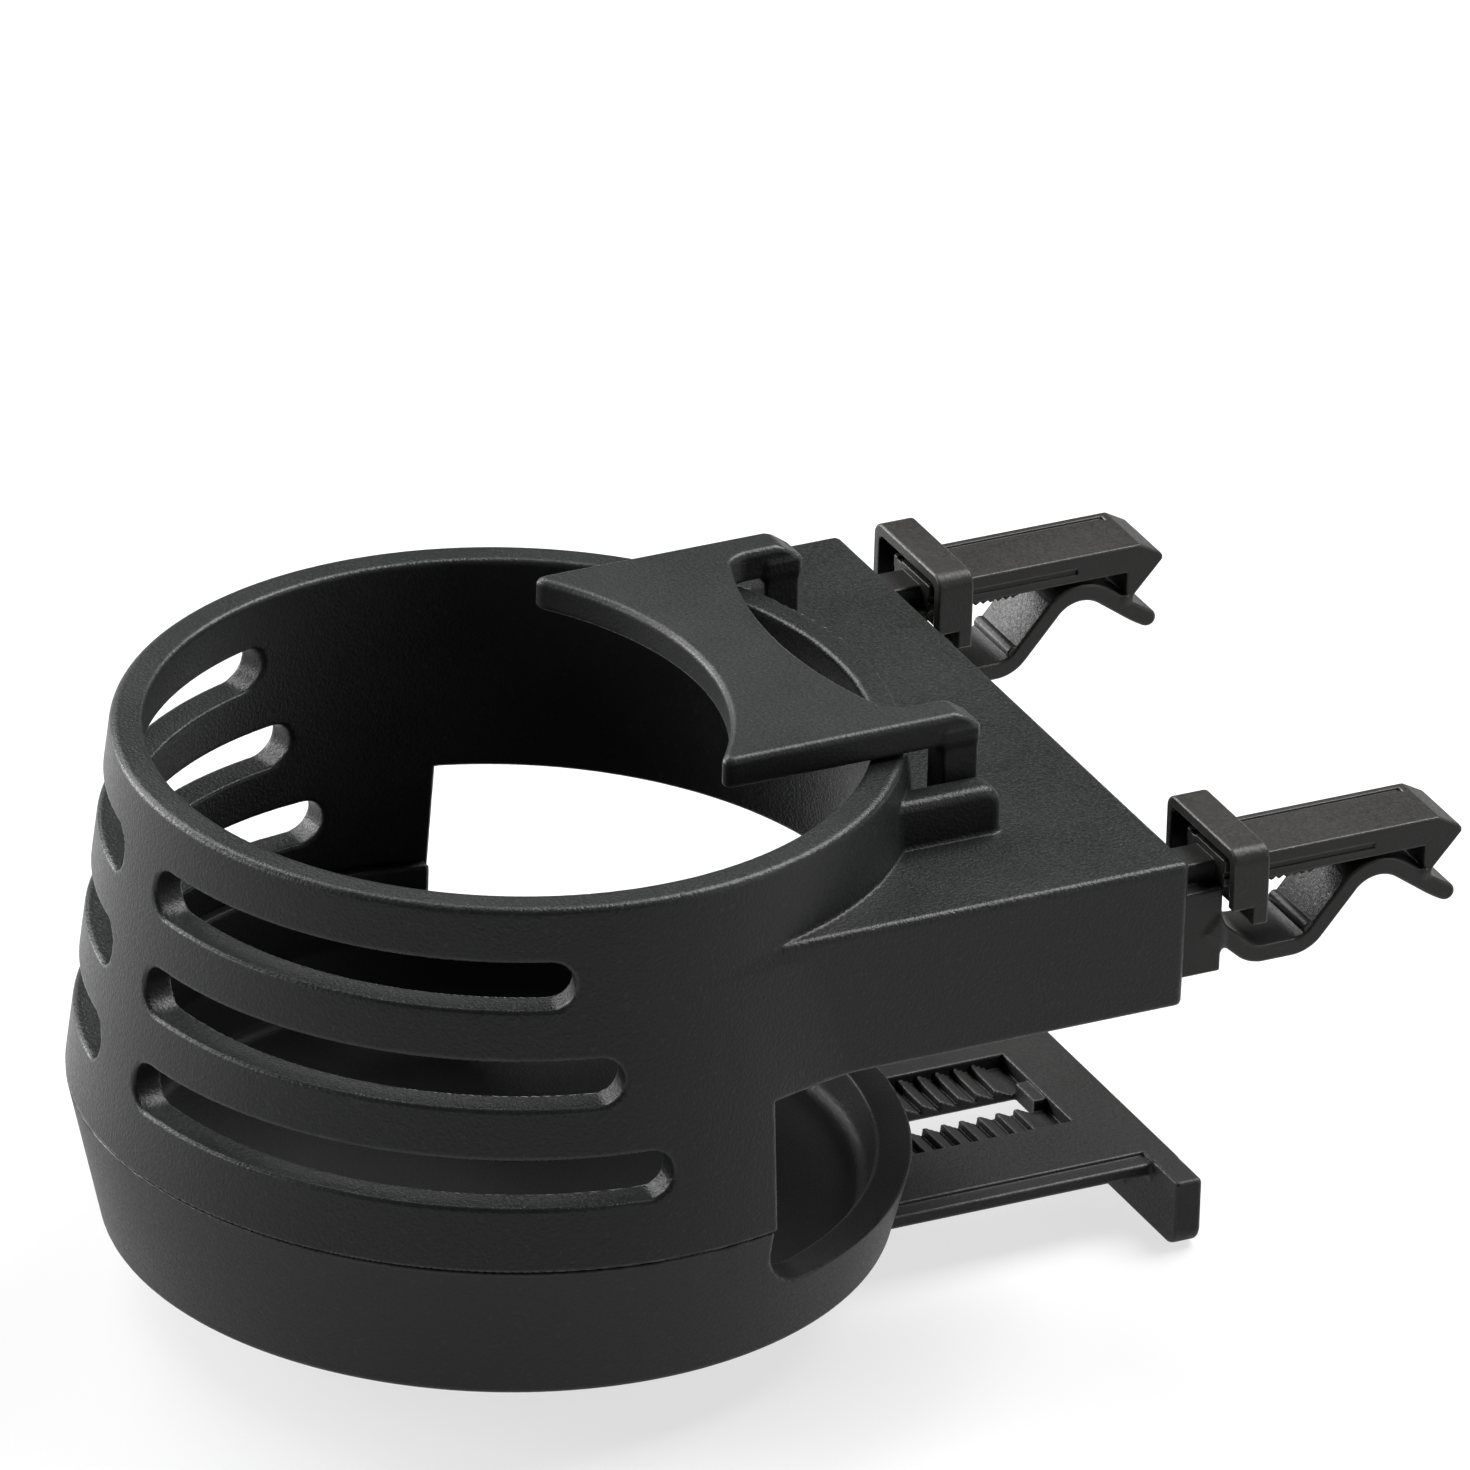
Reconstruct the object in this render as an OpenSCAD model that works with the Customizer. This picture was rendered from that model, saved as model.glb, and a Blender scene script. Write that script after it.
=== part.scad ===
// Car cup holder that hangs on two vent clips, with a sliding leg that props it against the dashboard.
// The origin is the middle of the cup's floor, +Z is up and +Y points at the vent.

/* [Cup ring] */
// Height of the rim over the underside of the base
rim_h = 62; // [52:1:80]
// Outer radius of the ring at the rim
rim_r = 46; // [44:0.5:50]
// Outer radius at the seam between ring and base
seam_r = 50.5; // [50:0.5:56]
// Height of the seam over the underside of the base
seam_h = 17.5; // [14:0.5:20]
// Wall of the ring
ring_wall = 4; // [3:0.5:5]
// Radius of the rim's two edges
rim_edge = 1; // [0.5:0.1:1.4]

/* [Slots in the ring] */
// Height of one slot
slot_h = 5.8; // [4:0.2:7]
// Distance from one slot to the next
slot_pitch = 12.1; // [10:0.1:12.5]
// Height of the lowest slot's middle
slot_low_z = 28.3; // [25:0.1:29]
// Half of the plain spine at the front, in degrees
spine_half_angle = 5.5; // [4:0.5:12]
// How far the lowest slot runs round from the front, in degrees
slot_sweep = 84.5; // [60:0.5:90]
// How much shorter each slot is than the one below it, in degrees
slot_step_angle = 7; // [0:0.5:10]

/* [Base] */
// Outer radius of the base at its underside
foot_r = 46.3; // [44:0.1:49]
// Thickness of the cup's floor
floor_t = 3.6; // [3.4:0.1:5]
// Wall of the base
base_wall = 4.2; // [3.5:0.1:5]
// Rounding of the base's bottom edge
base_edge = 0.8; // [0.5:0.1:1.5]
// Height of the foot ring under the base's outer edge
foot_ring_h = 0.7; // [0.3:0.1:1.2]
// Width of the foot ring
foot_ring_w = 4.2; // [2:0.1:4.4]
// Height of the lip that the base tucks inside the ring
lip_h = 3; // [2:0.5:4]
// Thickness of that lip
lip_t = 1.6; // [1.2:0.1:2]

/* [Rear window] */
// Where the window starts behind the cup's axis
window_y = 12; // [8:0.5:14]
// Height of the window's sill over the underside of the base
sill_h = 8.5; // [6.5:0.5:11]
// Corner radius of the window
window_corner = 4.5; // [2:0.5:6]

/* [Clip box] */
// Width of the box behind the ring
box_w = 90; // [86:1:91]
// Distance from the cup's axis to the rear face of the box
box_back = 65.5; // [62:0.5:75]
// Height of the box's top over the underside of the base
box_top = 52.5; // [50:0.5:54]
// Height of the box
box_h = 19.1; // [18.8:0.1:19.6]
// Wall of the box
box_wall = 2.5; // [2:0.1:3]
// Radius of the box's upright and top edges
box_edge = 0.6; // [0.5:0.1:2]
// Thickness of the cover under the box
cover_t = 2; // [1.6:0.1:2.5]

/* [Presser] */
// Width of the presser plate
presser_w = 51; // [47:0.5:54]
// Thickness of the plate
presser_t = 4; // [3:0.1:5]
// Radius of the plate's hollow front edge
presser_front_r = 38.7; // [36:0.1:45]
// Middle of the front edge, behind the cup's axis
presser_front_y = 23.9; // [20:0.1:27]
// Radius of the plate's hollow rear edge
presser_rear_r = 54; // [45:1:80]
// Middle of the rear edge, behind the cup's axis
presser_rear_y = 34.5; // [32:0.1:37]
// Width of each arm
arm_w = 4.5; // [3.5:0.1:6]
// Depth of each arm's post
post_d = 4.5; // [4:0.1:5]
// Distance from the cup's axis to the presser's pivot
pivot_y = 45.7; // [45:0.1:47]
// Height of the pivot over the top of the box
pivot_rise = 2.9; // [2.7:0.1:3.2]
// Diameter of the pivot pins
pivot_d = 2.6; // [2:0.1:3]
// Length of each pivot pin
pivot_l = 2.4; // [1.5:0.1:2.8]
// Thickness of the ears that hold the pins
ear_t = 4.2; // [3.6:0.1:5]
// Height of the ears over the box
ear_h = 5.9; // [5:0.1:7]

/* [Support leg] */
// Width of the leg
leg_w = 43; // [40:0.5:44]
// Thickness of the leg
leg_t = 2.6; // [2.4:0.1:3]
// Distance from the cup's axis to the rear face of the foot
leg_back = 78.3; // [74:0.1:90]
// Distance from the cup's axis to the leg's hidden end, positive to the front
leg_front = 12; // [6:0.5:14]
// Width of the foot
foot_w = 56; // [50:1:64]
// Height of the foot
foot_h = 8.8; // [7:0.1:12]
// Thickness of the foot
foot_t = 3.1; // [2.5:0.1:4]
// Width of the thinner margin along each side of the leg
margin_w = 2.2; // [1.5:0.1:3]
// Width of the sunk track with the teeth
track_w = 18; // [17.4:0.2:20]
// Depth of the track under the leg's top
track_depth = 0.85; // [0.6:0.05:1]
// Width of the slot down the middle of the leg
leg_slot_w = 4.7; // [4.6:0.1:5]
// Length of one tooth
tooth_pitch = 2.4; // [2.2:0.1:2.6]
// Height of the teeth
tooth_h = 1; // [0.8:0.05:1]
// Solid end of the leg behind the track
track_margin = 4.5; // [4:0.5:6]

/* [Leg guide] */
// Reach of the guide's rails to the rear
guide_rear = 36; // [32:1:37]
// Reach of the guide's rails to the front
guide_front = 28; // [24:1:30]
// Wall of the guide's rails
guide_wall = 3; // [2.5:0.1:3.2]
// Thickness of the ledges under the leg
ledge_t = 1.4; // [1.2:0.1:2]
// Width of each ledge under the leg
ledge_w = 6; // [4:0.5:8]
// Width of the flanges that the screws hold
flange_w = 6.4; // [6:0.1:6.6]
// Thickness of the flanges
flange_t = 2.2; // [1.8:0.1:2.6]
// Length of the flanges
flange_l = 44; // [38:1:46]

/* [Vent clips] */
// Distance from the side of the box to a clip's swivel axis
clip_inset = 7; // [6.5:0.5:12]
// Width of a clip's jaws
jaw_w = 9.6; // [8:0.2:11]
// Height of a clip's swivel axis over the underside of the base
clip_axis_z = 43.3; // [42.8:0.1:44.4]
// Top of the upper jaw over the swivel axis
jaw_top = 6.9; // [6.5:0.1:7.2]
// Thickness of the upper jaw
jaw_t = 3.5; // [3:0.1:3.6]
// Length of the upper jaw from the box to its tip
jaw_l = 36.8; // [35.8:0.1:42]
// Depth of the block that the two jaws grow from
root_d = 5.7; // [5:0.1:6]
// Reach of the block below the swivel axis
root_drop = 7.4; // [6.5:0.1:7.5]
// Width of the neck between the block and the upper jaw
neck_w = 5; // [4:0.1:6]
// Thickness of the sprung lower jaw
spring_t = 2.2; // [1.8:0.1:2.4]
// Height of the grip teeth under the upper jaw
grip_h = 0.5; // [0.3:0.05:0.6]
// Length of one grip tooth
grip_pitch = 1; // [0.8:0.1:1.2]
// Diameter of the swivel stem
stem_d = 5; // [4.4:0.1:5.4]

/* [Clip collars] */
// Distance from the box to the collar
collar_y = 5; // [4.5:0.1:6]
// Length of the collar along the jaw
collar_l = 4.6; // [4.2:0.1:5]
// Outer width of the collar
collar_w = 17.4; // [15:0.2:18]
// Height of the collar over the jaw
collar_rise = 2.8; // [2:0.1:3.2]
// Thickness of the collar's hollow side
collar_skin = 1.4; // [1:0.1:1.6]
// Height of the blade that closes the collar under the jaw
blade_h = 2.8; // [2:0.1:3.2]
// Thickness of the wall with the blade
blade_t = 1.9; // [1.5:0.1:2.2]

/* [Fits] */
// Radial clearance of a turning pin in its hole
pin_fit = 0.07; // [0.03:0.01:0.1]
// Clearance between faces that slide past each other
slide_gap = 0.3; // [0.2:0.05:0.35]
// Clearance of a collar on its jaw
collar_fit = 0.15; // [0.1:0.01:0.2]

/* [Screws] */
// Shank diameter of all the screws
screw_d = 2.1; // [1.8:0.1:2.2]
// Head diameter of the screws that show
screw_head_d = 4.6; // [4:0.1:5]
// Height of those heads
screw_head_h = 1.4; // [1:0.1:1.5]

/* [Hidden] */
$fn = 96;

// Far more than any size, for cuts that run right through
far = 200;

// Ring and base
function ring_r(z) = rim_r + (seam_r - rim_r) * (rim_h - z) / (rim_h - seam_h);
function base_r(z) = foot_r + (seam_r - foot_r) * z / seam_h;
slot_count = 3;
// Where the front of the ring lies
front_angle = -90;

// Clip box
box_low = box_top - box_h;
cover_boss_r = 3.6;
cover_boss_h = 1.6;
cover_screw_bite = 6;
cover_screw_points = [
    [box_w / 2 - box_wall - cover_boss_r - 0.4, 39],
    [24, box_back - box_wall - cover_boss_r - 0.4]
];

// Presser
presser_low = rim_h + slide_gap;
presser_top = presser_low + presser_t;
arm_in = presser_w / 2 - arm_w;
pivot_z = box_top + pivot_rise;
ear_in = presser_w / 2 + slide_gap;
ear_back = pivot_y + post_d / 2 + 1;
tip_r = 1.8;

// Leg, drawn downwards from the underside of the base
leg_top = -slide_gap;
leg_low = leg_top - leg_t;
track_z = leg_top - track_depth;
track_back = leg_back - foot_t - track_margin;
track_front = 10;
tooth_count = floor((track_back - track_front - 3) / tooth_pitch);
rack_y = track_back - 2 - tooth_count * tooth_pitch;
slot_back = track_back - 3;
slot_front = 20;
margin_top_step = 0.5;
margin_low_step = 0.6;
stop_y = 38.2;
stop_r = 2.1;

// Leg catch, a tongue in a pocket of the base's underside
catch_w = track_w - 1.4;
pocket_depth = 1.8;
catch_front = 17;
catch_back = 35.6;
catch_root_l = 7;
catch_teeth = 3;
catch_t = 1.2;
catch_screw_x = 5;

// Guide
guide_in = leg_w / 2 + slide_gap;
guide_out = guide_in + guide_wall;
guide_low = leg_low - slide_gap - ledge_t;
guide_screw_x = guide_out + flange_w / 2;
guide_screw_y = flange_l / 2 - 5;

// Clips
clip_x = box_w / 2 - clip_inset;
clip_y = box_back + collar_fit;
jaw_low = jaw_top - jaw_t;
stem_end = box_wall + collar_fit + 0.8;
washer_t = 0.6;
washer_r = 4.3;
neck_top = jaw_top - 1;
grip_teeth = 8;
bend_parts = 8;
dip_angle = 42;
blade_top = jaw_low - grip_h - collar_fit;

module above_base() {
    translate([0, 0, -floor_t]) children();
}

module both_sides() {
    children();
    mirror([1, 0, 0]) children();
}

// A flat shape drawn in Y and Z, stretched across the part from -w/2 to w/2
module across(w) {
    translate([-w / 2, 0, 0])
        rotate([90, 0, 90])
            linear_extrude(w) children();
}

module rounded_rect(size, r) {
    translate([r, 0]) square([size[0] - 2 * r, size[1]]);
    translate([0, r]) square([size[0], size[1] - 2 * r]);
    for (x = [r, size[0] - r], y = [r, size[1] - r])
        translate([x, y]) circle(r);
}

// Pan head screw with a cross recess, head down at z 0 and shank up
module screw(l, head_d = screw_head_d, head_h = screw_head_h) {
    difference() {
        union() {
            translate([0, 0, -head_h]) cylinder(d = head_d, h = head_h);
            cylinder(d = screw_d, h = l);
        }
        for (a = [0, 90])
            rotate(a) translate([-head_d * 0.3, -0.3, -head_h - 1]) cube([head_d * 0.6, 0.6, 1.6]);
    }
}

// The wall of the ring in section, with its rim rounded on both edges
module ring_section() {
    in_top = rim_r - ring_wall;
    in_seam = seam_r - ring_wall;
    polygon([
        [in_seam, seam_h], [seam_r, seam_h],
        [ring_r(rim_h - rim_edge), rim_h - rim_edge],
        [rim_r - rim_edge, rim_h], [in_top + rim_edge, rim_h],
        [ring_r(rim_h - rim_edge) - ring_wall, rim_h - rim_edge]
    ]);
    translate([rim_r - rim_edge, rim_h - rim_edge]) circle(rim_edge);
    translate([in_top + rim_edge, rim_h - rim_edge]) circle(rim_edge);
}

// One slot right through the ring's wall, with round ends
module ring_slot(z, first, last) {
    deep = 3 * ring_wall;
    r = ring_r(z) - ring_wall / 2;
    mid = (first + last) / 2;
    intersection() {
        rotate_extrude()
            translate([r - deep / 2, z - slot_h / 2]) square([deep, slot_h]);
        union() {
            translate([0, 0, z - slot_h])
                linear_extrude(2 * slot_h)
                    polygon([
                        [0, 0],
                        for (a = [first, (first + mid) / 2, mid, (mid + last) / 2, last])
                            2 * r * [cos(a), sin(a)]
                    ]);
            for (a = [first, last])
                rotate(a)
                    translate([r - deep / 2 - 1, 0, z])
                        rotate([0, 90, 0]) cylinder(d = slot_h + 0.06, h = deep + 2);
        }
    }
}

module ring_slots() {
    end_angle = asin(slot_h / 2 / seam_r);
    for (i = [0:slot_count - 1])
        ring_slot(
            slot_low_z + i * slot_pitch,
            front_angle + spine_half_angle + end_angle,
            front_angle + slot_sweep - i * slot_step_angle
        );
}

// The open window behind the cup, drawn in Y and Z
module window_section() {
    translate([window_y, sill_h]) {
        translate([window_corner, 0]) square([far, box_low - sill_h]);
        translate([0, window_corner]) square([far, box_low - sill_h - window_corner]);
        translate([window_corner, window_corner]) circle(window_corner);
    }
}

module window() {
    across(far) window_section();
}

module box_outer() {
    deep = box_back;
    intersection() {
        translate([0, 0, box_low])
            linear_extrude(box_h)
                translate([-box_w / 2, -box_edge]) rounded_rect([box_w, deep + box_edge], box_edge);
        across(box_w) translate([-box_edge, box_low]) rounded_rect([deep + box_edge, box_h], box_edge);
    }
}

// The room inside the box, open below
module box_room() {
    translate([-box_w / 2 + box_wall, 0, box_low - 1])
        cube([box_w - 2 * box_wall, box_back - box_wall, box_h - box_wall + 1]);
}

// Everything inside the middle of the ring's wall. What joins the ring from outside is cut back to there.
module inside_ring() {
    mid = ring_wall / 2;
    rotate_extrude()
        polygon([[0, seam_h], [seam_r - mid, seam_h], [rim_r - mid, rim_h], [0, rim_h]]);
}

module ear() {
    w = ear_t;
    r = 2.4;
    difference() {
        translate([ear_in + w / 2, 0, 0])
            across(w)
                translate([0, box_top - 1]) {
                    square([ear_back, ear_h + 1 - r]);
                    square([ear_back - r, ear_h + 1]);
                    translate([ear_back - r, ear_h + 1 - r]) circle(r);
                }
        inside_ring();
        translate([ear_in - 1, pivot_y, pivot_z])
            rotate([0, 90, 0]) cylinder(d = pivot_d + 2 * pin_fit, h = pivot_l + 1 + slide_gap);
    }
}

module cover_bosses() {
    low = box_low + cover_t + cover_boss_h;
    both_sides()
        for (p = cover_screw_points)
            translate([p[0], p[1], low])
                difference() {
                    cylinder(r = cover_boss_r, h = box_top - box_wall / 2 - low);
                    translate([0, 0, -1]) cylinder(d = screw_d + 0.1, h = 9);
                }
}

module housing() {
    color("#2e3130")
        above_base()
            difference() {
                union() {
                    rotate_extrude() ring_section();
                    difference() {
                        box_outer();
                        box_room();
                        inside_ring();
                    }
                    both_sides() ear();
                    cover_bosses();
                }
                both_sides() ring_slots();
                window();
                both_sides()
                    translate([clip_x, box_back - box_wall - 1, clip_axis_z])
                        rotate([-90, 0, 0]) cylinder(d = stem_d + 2 * pin_fit, h = box_wall + 2);
            }
}

module base_section() {
    edge_z = base_edge - foot_ring_h;
    difference() {
        union() {
            polygon([
                [0, 0], [foot_r - foot_ring_w, 0], [foot_r - foot_ring_w, -foot_ring_h],
                [base_r(edge_z) - base_edge, -foot_ring_h], [base_r(edge_z), edge_z],
                [seam_r, seam_h], [0, seam_h]
            ]);
            translate([base_r(edge_z) - base_edge, edge_z]) circle(base_edge);
            square([seam_r - ring_wall - 0.2, seam_h + lip_h]);
        }
        polygon([
            [-1, floor_t], [base_r(floor_t) - base_wall, floor_t],
            [base_r(seam_h - 3) - base_wall, seam_h - 3],
            [seam_r - ring_wall - 0.2 - lip_t, seam_h], [seam_r - ring_wall - 0.2 - lip_t, far], [-1, far]
        ]);
        translate([-far, -foot_ring_h - 1]) square([far, far]);
    }
}

module base_cup() {
    way = guide_out + slide_gap;
    color("#2b2e2d")
        above_base() {
            difference() {
                rotate_extrude() base_section();
                window();
                // Way through the foot ring for the leg and its guide
                translate([-way, 0, -foot_ring_h - 1]) cube([2 * way, far, foot_ring_h + 1]);
                translate([-catch_w / 2 - 0.1, catch_front - 0.1, -1])
                    cube([catch_w + 0.2, catch_back - catch_front + 0.2, pocket_depth + 1]);
                both_sides() {
                    translate([catch_screw_x, catch_front + catch_root_l / 2, 0])
                        cylinder(d = screw_d + 0.1, h = floor_t - 0.6);
                    for (y = [-guide_screw_y, guide_screw_y])
                        translate([guide_screw_x, y, -1]) cylinder(d = screw_d + 0.1, h = floor_t + 0.4);
                }
            }
            // Stop in the leg's slot
            translate([0, stop_y, leg_low]) cylinder(r = stop_r, h = -leg_low + 0.5);
        }
}

module box_cover() {
    gap = 0.1;
    w = box_w - 2 * box_wall - 2 * gap;
    color("#2b2e2d")
        above_base()
            difference() {
                union() {
                    translate([-w / 2, window_y + 8, box_low])
                        cube([w, box_back - box_wall - gap - window_y - 8, cover_t]);
                    both_sides()
                        for (p = cover_screw_points)
                            translate([p[0], p[1], box_low]) cylinder(r = cover_boss_r, h = cover_t + cover_boss_h);
                }
                translate([0, 0, box_low - 1]) cylinder(r = ring_r(box_low) + gap, h = cover_t + 2);
                both_sides()
                    for (p = cover_screw_points)
                        translate([p[0], p[1], box_low - 1]) {
                            cylinder(d = screw_head_d + 0.6, h = screw_head_h + 1.2);
                            cylinder(d = screw_d + 0.4, h = cover_t + cover_boss_h + 2);
                        }
            }
}

module box_cover_screws() {
    color("silver")
        above_base()
            both_sides()
                for (p = cover_screw_points)
                    translate([p[0], p[1], box_low + screw_head_h + 0.2])
                        screw(cover_t + cover_boss_h - screw_head_h - 0.2 + cover_screw_bite);
}

// The presser's outline from above
module presser_outline() {
    half = presser_w / 2;
    front_c = presser_front_y - presser_front_r;
    rear_c = presser_rear_y + presser_rear_r;
    reach = presser_front_r + tip_r;
    tip_x = half - tip_r;
    tip_y = front_c + sqrt(reach * reach - tip_x * tip_x);
    touch = presser_front_r / reach;
    difference() {
        translate([-half, 0]) square([presser_w, pivot_y + post_d / 2]);
        translate([0, front_c]) circle(presser_front_r, $fn = 180);
        intersection() {
            translate([0, rear_c]) circle(presser_rear_r, $fn = 180);
            translate([-arm_in, 0]) square([2 * arm_in, far]);
        }
        for (side = [-1, 1])
            polygon([
                [side * (half + 1), tip_y], [side * tip_x, tip_y],
                [side * tip_x * touch, front_c + (tip_y - front_c) * touch],
                [side * tip_x * touch, 0], [side * (half + 1), 0]
            ]);
        translate([-arm_in + 0.1, -1]) square([2 * arm_in - 0.2, 1.5]);
    }
    for (side = [-1, 1])
        translate([side * tip_x, tip_y]) circle(tip_r);
}

module presser() {
    edge = 1.2;
    chamfer = 2.6;
    back = pivot_y + post_d / 2;
    color("#323534")
        above_base() {
            difference() {
                intersection() {
                    translate([0, 0, presser_low]) linear_extrude(presser_t) presser_outline();
                    rotate([90, 0, 0])
                        translate([0, 0, -far / 2])
                            linear_extrude(far)
                                translate([-presser_w / 2, presser_low]) rounded_rect([presser_w, presser_t], edge);
                }
                across(far)
                    polygon([
                        [back - chamfer, presser_top + 1], [back - chamfer, presser_top],
                        [back, presser_top - chamfer * 0.7], [back + 1, presser_top - chamfer * 0.7],
                        [back + 1, presser_top + 1]
                    ]);
            }
            both_sides()
                translate([arm_in, 0, 0]) {
                    translate([0, pivot_y - post_d / 2, pivot_z])
                        cube([arm_w, post_d, presser_low + 1.2 - pivot_z]);
                    translate([0, pivot_y, pivot_z])
                        rotate([0, 90, 0]) cylinder(d = post_d, h = arm_w);
                    translate([arm_w - 1, pivot_y, pivot_z])
                        rotate([0, 90, 0]) cylinder(d = pivot_d, h = pivot_l + 1);
                }
        }
}

// A run of saw teeth in Y and Z, steep on the side towards the front
module saw_teeth(count, pitch, h) {
    for (i = [0:count - 1])
        translate([i * pitch, 0])
            polygon([[0, -0.2], [0, h], [pitch * 0.25, h], [pitch, 0], [pitch, -0.2]]);
}

module leg() {
    color("#2a2d2c")
        above_base()
            difference() {
                union() {
                    difference() {
                        translate([-leg_w / 2, -leg_front, leg_low])
                            cube([leg_w, leg_back + leg_front, leg_t]);
                        translate([-track_w / 2, track_front, track_z - tooth_h])
                            cube([track_w, track_back - track_front, leg_t]);
                    }
                    across(track_w)
                        translate([rack_y, track_z - tooth_h]) saw_teeth(tooth_count, tooth_pitch, tooth_h);
                    leg_foot();
                }
                leg_slot();
                both_sides()
                    for (z = [leg_top - margin_top_step, leg_low - 1 + margin_low_step])
                        translate([leg_w / 2 - margin_w, -leg_front - 1, z])
                            cube([margin_w + 1, leg_back + leg_front - foot_t + 1, 1]);
            }
}

module leg_slot() {
    translate([-leg_slot_w / 2, slot_front, leg_low - 1]) cube([leg_slot_w, slot_back - slot_front, leg_t + 2]);
    for (y = [slot_front, slot_back])
        translate([0, y, leg_low - 1]) cylinder(d = leg_slot_w, h = leg_t + 2);
}

module leg_foot() {
    corner = 2.5;
    translate([0, leg_back, leg_top - foot_h])
        rotate([90, 0, 0])
            linear_extrude(foot_t) {
                translate([-foot_w / 2, corner]) square([foot_w, foot_h - corner]);
                translate([-foot_w / 2 + corner, 0]) square([foot_w - 2 * corner, foot_h]);
                for (side = [-1, 1])
                    translate([side * (foot_w / 2 - corner), corner]) circle(corner);
            }
    for (x = [-14, 14])
        translate([x, 0, 0])
            across(2)
                polygon([
                    [leg_back - foot_t - 5, leg_low + 0.1], [leg_back - foot_t + 0.1, leg_low + 0.1],
                    [leg_back - foot_t + 0.1, leg_low - 4]
                ]);
}

module leg_guide() {
    color("#262928")
        above_base()
            difference() {
                union() {
                    both_sides() {
                        translate([guide_in, -guide_front, guide_low])
                            cube([guide_wall, guide_front + guide_rear, -guide_low]);
                        translate([guide_in - ledge_w, -guide_front, guide_low])
                            cube([ledge_w + 0.1, guide_front + guide_rear, ledge_t]);
                        translate([guide_out - 0.1, -flange_l / 2, -flange_t])
                            cube([flange_w + 0.1, flange_l, flange_t]);
                    }
                    for (y = [-guide_front, guide_rear - 4])
                        translate([-guide_in, y, guide_low]) cube([2 * guide_in, 4, ledge_t]);
                }
                both_sides()
                    for (y = [-guide_screw_y, guide_screw_y])
                        translate([guide_screw_x, y, -far / 2]) cylinder(d = screw_d + 0.4, h = far);
            }
}

module leg_guide_screws() {
    color("silver")
        above_base()
            both_sides()
                for (y = [-guide_screw_y, guide_screw_y])
                    translate([guide_screw_x, y, -flange_t]) screw(flange_t + floor_t - 1.2);
}

// The sprung tongue whose teeth drop into the leg's rack
module leg_catch() {
    first = ceil((catch_back - 1 - catch_teeth * tooth_pitch - rack_y) / tooth_pitch);
    teeth_y = rack_y + first * tooth_pitch;
    teeth_back = teeth_y + catch_teeth * tooth_pitch;
    color("#4a4d4c")
        above_base()
            difference() {
                union() {
                    translate([-catch_w / 2, catch_front, 0])
                        cube([catch_w, catch_root_l, pocket_depth]);
                    translate([-catch_w / 2, catch_front, 0])
                        cube([catch_w, catch_back - catch_front, catch_t]);
                    across(catch_w)
                        translate([0, track_z + 0.15])
                            for (i = [1:catch_teeth])
                                translate([teeth_y + i * tooth_pitch - 0.12, 0])
                                    polygon([
                                        [0, -tooth_h * 0.8], [0, -track_z], [-tooth_pitch * 0.6, -track_z],
                                        [-tooth_pitch * 0.6, 0]
                                    ]);
                }
                translate([-leg_slot_w / 2, catch_front + catch_root_l, -far / 2])
                    cube([leg_slot_w, far, far]);
                both_sides()
                    translate([catch_screw_x, catch_front + catch_root_l / 2, 0]) {
                        translate([0, 0, -0.01]) cylinder(d1 = 3.8, d2 = screw_d + 0.2, h = 1);
                        cylinder(d = screw_d + 0.2, h = far, center = true);
                    }
            }
}

module leg_catch_screws() {
    color("silver")
        above_base()
            both_sides()
                translate([catch_screw_x, catch_front + catch_root_l / 2, 0]) {
                    cylinder(d1 = 3.6, d2 = screw_d, h = 0.95);
                    cylinder(d = screw_d, h = floor_t - 0.8);
                }
}

// Places a clip part: x across, y out of the box's rear face, z up from the swivel axis
module at_clip(side) {
    above_base() translate([side * clip_x, clip_y, clip_axis_z]) children();
}

// Middle line of a strip that follows straights and bends, given as [length, turn, bend radius] steps.
// Each point carries the strip's heading there.
function strip_line(steps, p, a, i = 0) =
    i == len(steps) ? [[p[0], p[1], a]] : let (
        turn = steps[i][1],
        arm = sign(turn) * steps[i][2],
        q = p + steps[i][0] * [cos(a), sin(a)],
        c = q + arm * [-sin(a), cos(a)],
        bend = [for (k = [0:bend_parts]) a + turn * k / bend_parts],
        line = [for (h = bend) c - arm * [-sin(h), cos(h)]]
    ) concat(
        [[p[0], p[1], a]],
        [for (k = [0:bend_parts - 1]) [line[k][0], line[k][1], bend[k]]],
        strip_line(steps, line[bend_parts], a + turn, i + 1)
    );

// The strip in section, t thick, with a round tip
module bent_strip(steps, p, a, t) {
    line = strip_line(steps, p, a);
    tip = line[len(line) - 1];
    polygon([
        for (s = line) [s[0], s[1]] + t / 2 * [-sin(s[2]), cos(s[2])],
        for (k = [1:5]) [tip[0], tip[1]] + t / 2 * [cos(tip[2] + 90 - 30 * k), sin(tip[2] + 90 - 30 * k)],
        for (k = [len(line) - 1:-1:0]) [line[k][0], line[k][1]] - t / 2 * [-sin(line[k][2]), cos(line[k][2])]
    ]);
}

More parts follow.
